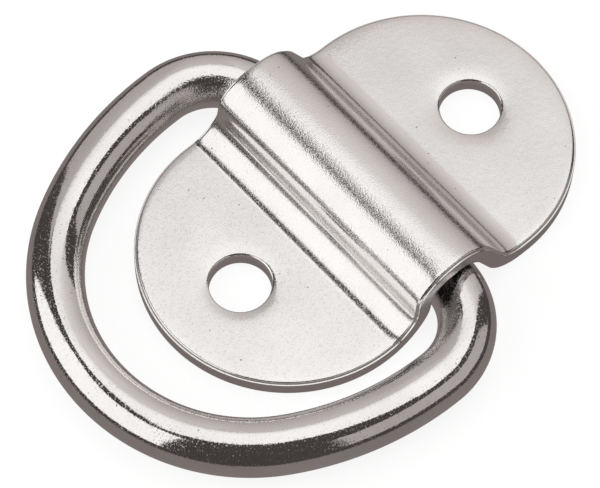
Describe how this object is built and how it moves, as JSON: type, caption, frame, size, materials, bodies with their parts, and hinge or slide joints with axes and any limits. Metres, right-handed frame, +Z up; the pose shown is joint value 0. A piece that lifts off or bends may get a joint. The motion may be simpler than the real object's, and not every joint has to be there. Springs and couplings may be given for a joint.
{
  "type": "lashing ring",
  "caption": "D-shaped steel ring held by its straight leg in a pressed saddle plate that screws down flat; the ring folds over either way.",
  "frame": {"origin": "on the mounting surface, midway between the two fixing holes, under the middle of the saddle", "axes": "+X along the plate, away from the lobe that the ring lies around at rest; +Y along the saddle, which is the ring's hinge line; +Z up, away from the mounting surface"},
  "size_m": [0.0629, 0.0494, 0.0093],
  "materials": {
    "plated_sheet": "bright zinc plating over pressed sheet steel, satin and slightly warm",
    "plated_rod": "bright zinc plating over drawn round bar, glossier than the plate, with fine draw and bend marks"
  },
  "bodies": {
    "plate": {"saddle_plate": "plated_sheet"},
    "ring": {"d_ring": "plated_rod"}
  },
  "joints": [
    {"name": "ring_fold", "type": "hinge", "parent": "plate", "child": "ring", "pos_m": [0, 0, 0.003], "axis": [0, 1, 0], "range_deg": [0, 180]}
  ]
}
